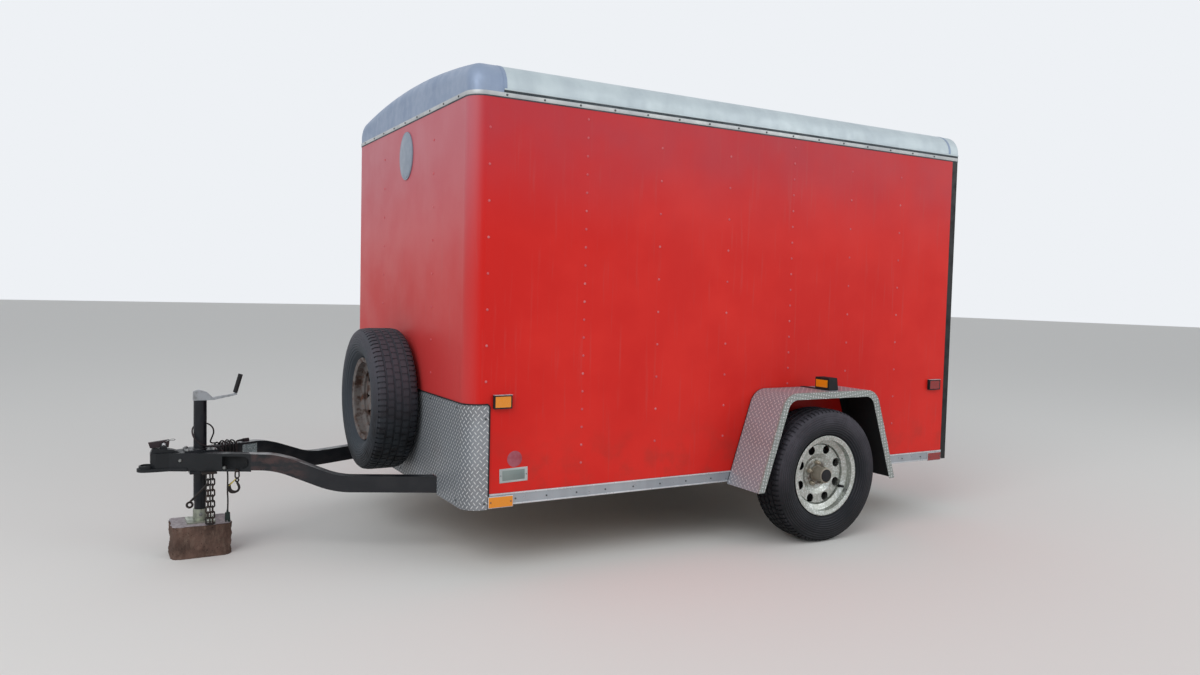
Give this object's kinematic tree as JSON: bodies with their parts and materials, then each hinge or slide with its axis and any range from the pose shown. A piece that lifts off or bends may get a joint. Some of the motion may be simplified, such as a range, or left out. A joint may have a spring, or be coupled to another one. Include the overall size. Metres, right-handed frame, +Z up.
{
  "type": "enclosed cargo trailer",
  "caption": "Single-axle enclosed cargo trailer with a hollow box body, rear and side doors, fenders, front spare wheel and an A-frame tongue on its jack.",
  "frame": {"origin": "on the floor, in the middle of the overall length and width", "axes": "+X forward to the coupler, +Y to the left side, +Z up"},
  "size_m": [4.3599, 2.34, 2.3025],
  "materials": {
    "red_skin": "weathered gloss red paint on sheet",
    "roof_metal": "weathered mill aluminium",
    "diamond_plate": "raised tread plate",
    "bright_trim": "extruded mill finish",
    "black_steel": "black enamel with surface rust",
    "zinc_steel": "zinc plated",
    "wheel_steel": "galvanised, satin",
    "rusty_steel": "rusted silver paint",
    "tyre_rubber": "weathered black rubber",
    "plywood": "bare plywood",
    "amber_lens": "moulded lens",
    "red_lens": "moulded lens",
    "black_plastic": "moulded housing",
    "cord_rubber": "soft flexible lead",
    "split_stone": "rough split face"
  },
  "bodies": {
    "trailer": {"floor_deck": "plywood", "frame_rails": "black_steel", "cross_frame": "black_steel", "front_wall": "red_skin", "left_wall": "red_skin", "right_wall": "red_skin", "front_cap": "roof_metal", "rear_header_cap": "roof_metal", "roof_panel": "roof_metal", "roof_coves": "roof_metal", "rear_frame": "black_steel", "door_hinges": "zinc_steel", "stone_guard": "diamond_plate", "rail_trims": "bright_trim", "tongue_beams": "black_steel", "coupler": "black_steel", "coupler_latch": "black_steel", "jack_tube": "black_steel", "jack_crank": "zinc_steel", "crank_grip": "black_plastic", "safety_chains": "zinc_steel", "lead_grommet": "cord_rubber", "lead_start": "cord_rubber", "lead_wraps": "cord_rubber", "lead_tube": "cord_rubber", "lead_plug": "cord_rubber", "torsion_axle": "black_steel", "spare_wheel": "rusty_steel", "spare_tyre": "tyre_rubber", "spare_bracket": "black_steel", "fender_left": "diamond_plate", "fender_right": "diamond_plate", "amber_lenses": "amber_lens", "red_lenses": "red_lens", "fender_lamps": "black_plastic"},
    "wheel_left": {"wheel_left": "wheel_steel", "hub_left": "zinc_steel", "tyre_left": "tyre_rubber"},
    "wheel_right": {"wheel_right": "wheel_steel", "hub_right": "zinc_steel", "tyre_right": "tyre_rubber"},
    "rear_door_left": {"rear_door_left": "red_skin", "rear_door_gear_left": "zinc_steel"},
    "rear_door_right": {"rear_door_right": "red_skin", "rear_door_gear_right": "zinc_steel"},
    "side_door": {"side_door": "red_skin", "side_door_gear": "zinc_steel"},
    "jack_leg": {"jack_leg": "black_steel", "jack_foot": "zinc_steel", "foot_block": "split_stone"}
  },
  "joints": [
    {"name": "wheel_left_spin", "type": "hinge", "parent": "trailer", "child": "wheel_left", "pos_m": [-0.945, 1.06, 0.3445], "axis": [0, 1, 0], "continuous": true},
    {"name": "wheel_right_spin", "type": "hinge", "parent": "trailer", "child": "wheel_right", "pos_m": [-0.945, -1.06, 0.3445], "axis": [0, 1, 0], "continuous": true},
    {"name": "rear_door_left_swing", "type": "hinge", "parent": "trailer", "child": "rear_door_left", "pos_m": [-2.15, 0.8615, 1.222], "axis": [0, 0, -1], "range_deg": [0, 180]},
    {"name": "rear_door_right_swing", "type": "hinge", "parent": "trailer", "child": "rear_door_right", "pos_m": [-2.15, -0.8615, 1.222], "axis": [0, 0, 1], "range_deg": [0, 180]},
    {"name": "side_door_swing", "type": "hinge", "parent": "trailer", "child": "side_door", "pos_m": [0.649, -0.9245, 1.196], "axis": [0, 0, 1], "range_deg": [0, 170]},
    {"name": "jack_leg_slide", "type": "slide", "parent": "trailer", "child": "jack_leg", "axis": [0, 0, 1], "range_m": [-0.2, 0.032]}
  ]
}
